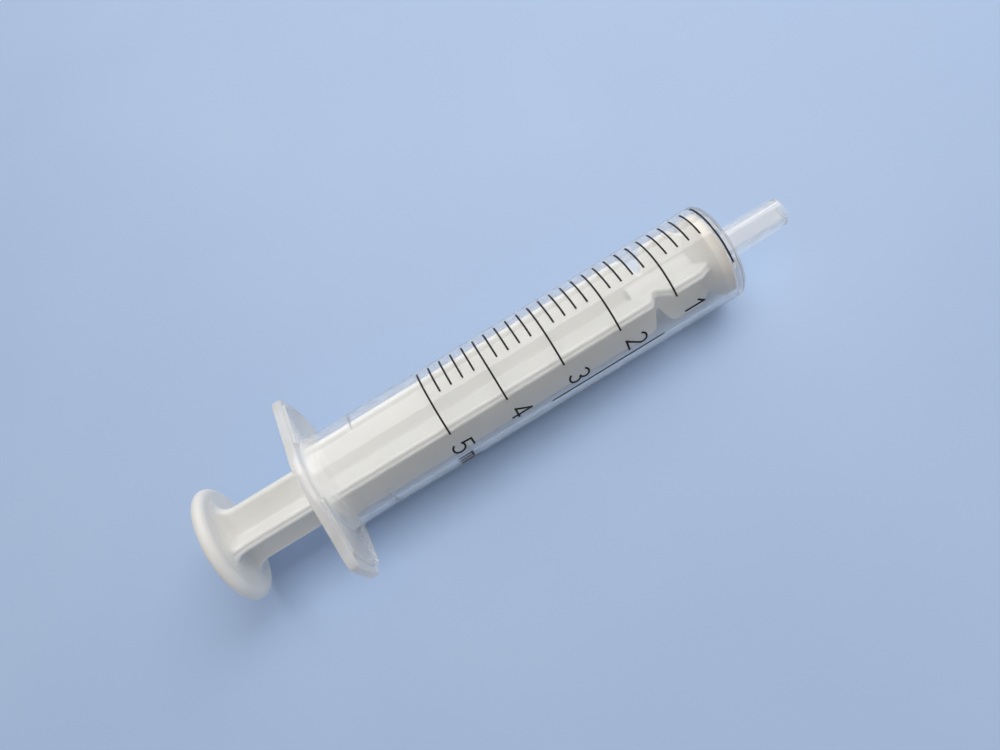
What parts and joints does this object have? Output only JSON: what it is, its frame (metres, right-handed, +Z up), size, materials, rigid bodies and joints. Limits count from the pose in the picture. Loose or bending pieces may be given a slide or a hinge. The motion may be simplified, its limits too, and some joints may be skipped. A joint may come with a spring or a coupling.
{
  "type": "oral syringe",
  "caption": "Oral dosing syringe: a translucent graduated barrel with a finger flange and a plain tapered nozzle, and a ribbed plunger that slides in its bore.",
  "frame": {"origin": "on the barrel's axis, in the plane of the finger pads' tops", "axes": "+X along the barrel's axis towards the nozzle; Y along the flange's length; +Z up, through the middle of the printed lines"},
  "size_m": [0.0885, 0.0268, 0.0178],
  "materials": {
    "barrel_plastic": "translucent, satin, as moulded",
    "plunger_plastic": "opaque white, satin, as moulded",
    "ink": "printed ink, matt"
  },
  "bodies": {
    "barrel": {"barrel": "barrel_plastic", "major_graduations": "ink", "minor_graduations": "ink", "numerals": "ink", "unit_mark": "ink", "rule_line": "ink"},
    "plunger": {"plunger": "plunger_plastic"}
  },
  "joints": [
    {"name": "plunger_slide", "type": "slide", "parent": "barrel", "child": "plunger", "axis": [-1, 0, 0], "range_m": [0, 0.0517]}
  ]
}
